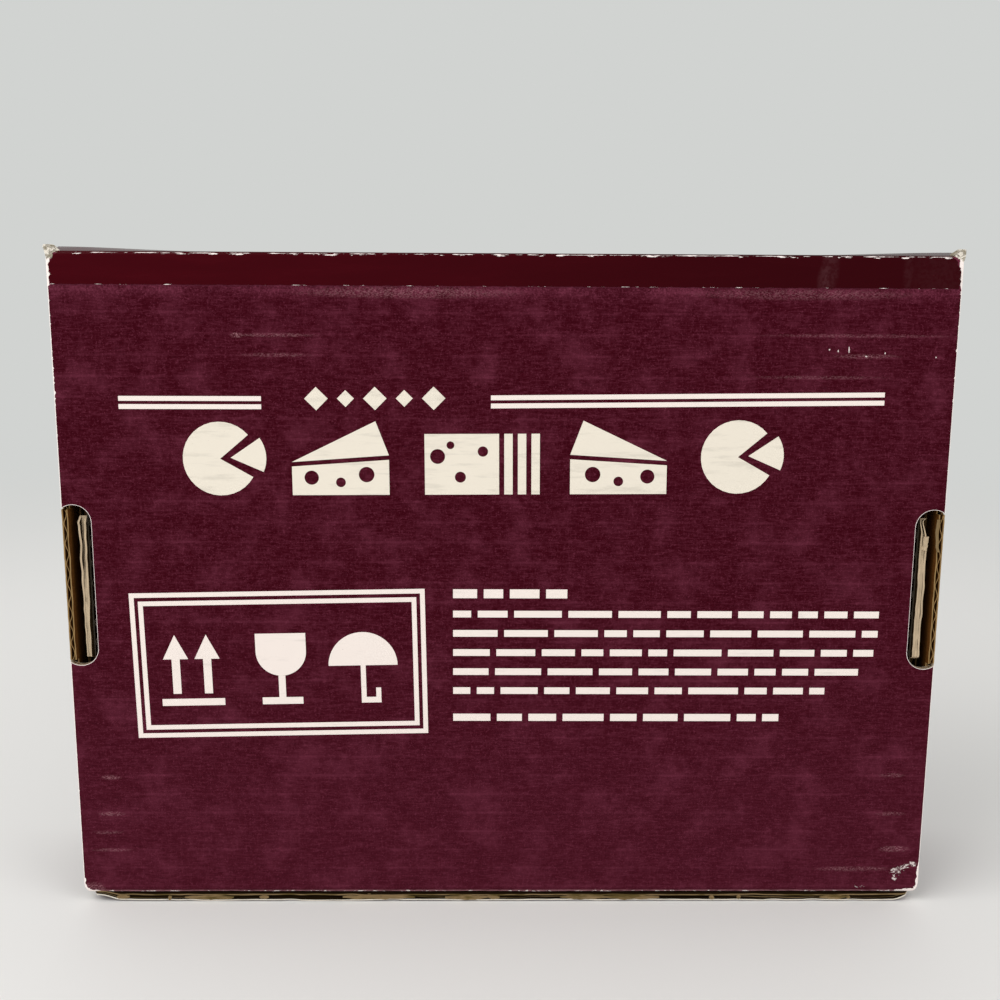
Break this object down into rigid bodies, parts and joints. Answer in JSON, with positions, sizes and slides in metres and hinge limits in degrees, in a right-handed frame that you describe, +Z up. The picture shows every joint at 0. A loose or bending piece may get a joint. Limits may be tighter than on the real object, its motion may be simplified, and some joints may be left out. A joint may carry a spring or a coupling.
{
  "type": "boxed cheese slicer",
  "caption": "Closed roll-end corrugated carton with hinged lid and tuck-under flap, packed with a wire cheese slicer: marble slab, hinged rod arm, cutting wire and screw grip.",
  "frame": {"origin": "middle of the carton's footprint, on the surface it stands on", "axes": "+X to the right across the printed base panel, +Y from the base panel to the lid, +Z up as it stands on its front flap"},
  "size_m": [0.276, 0.057, 0.211],
  "materials": {
    "printed_board": "matte printed",
    "kraft_board": "matte kraft",
    "wrap_paper": "gloss printed",
    "marble": "polished",
    "rubber": "matte",
    "nylon": "matte",
    "chrome_steel": "polished",
    "stainless": "drawn",
    "brass": "satin",
    "wood": "satin"
  },
  "bodies": {
    "carton": {"base_panel": "printed_board", "front_wall": "printed_board", "rear_wall": "printed_board", "left_outer_wall": "printed_board", "right_outer_wall": "printed_board", "left_wall_ridge": "kraft_board", "right_wall_ridge": "kraft_board", "left_inner_wall": "kraft_board", "right_inner_wall": "kraft_board", "front_left_corner_flap": "kraft_board", "front_right_corner_flap": "kraft_board", "rear_left_corner_flap": "kraft_board", "rear_right_corner_flap": "kraft_board", "wrap_sheet_rear": "wrap_paper", "rear_pad": "kraft_board", "left_side_pad": "kraft_board", "right_side_pad": "kraft_board", "near_front_pad": "kraft_board", "far_front_pad": "kraft_board", "marble_slab": "marble", "rubber_feet": "rubber", "outer_axle_bush": "nylon", "inner_axle_bush": "nylon"},
    "lid": {"lid_panel": "printed_board", "wrap_sheet_lid": "wrap_paper"},
    "flap": {"front_flap": "printed_board"},
    "arm": {"arm_frame": "chrome_steel", "wire_collar": "chrome_steel", "cutting_wire": "stainless", "wire_ferrules": "brass", "tension_stud": "stainless"},
    "turned_grip": {"grip": "wood", "grip_insert": "brass", "grip_washer": "chrome_steel"}
  },
  "joints": [
    {"name": "lid_hinge", "type": "hinge", "parent": "carton", "child": "lid", "pos_m": [0, 0.0285, 0.211], "axis": [1, 0, 0], "range_deg": [0, 180]},
    {"name": "flap_hinge", "type": "hinge", "parent": "lid", "child": "flap", "pos_m": [0, 0.0285, 0], "axis": [1, 0, 0], "range_deg": [0, 90]},
    {"name": "arm_hinge", "type": "hinge", "parent": "carton", "child": "arm", "pos_m": [-0.08, -0.012, 0.1961], "axis": [1, 0, 0], "range_deg": [0, 6]},
    {"name": "grip_turn", "type": "hinge", "parent": "arm", "child": "turned_grip", "pos_m": [-0.0445, -0.0065, 0.03], "axis": [0, 0, 1], "continuous": true}
  ]
}
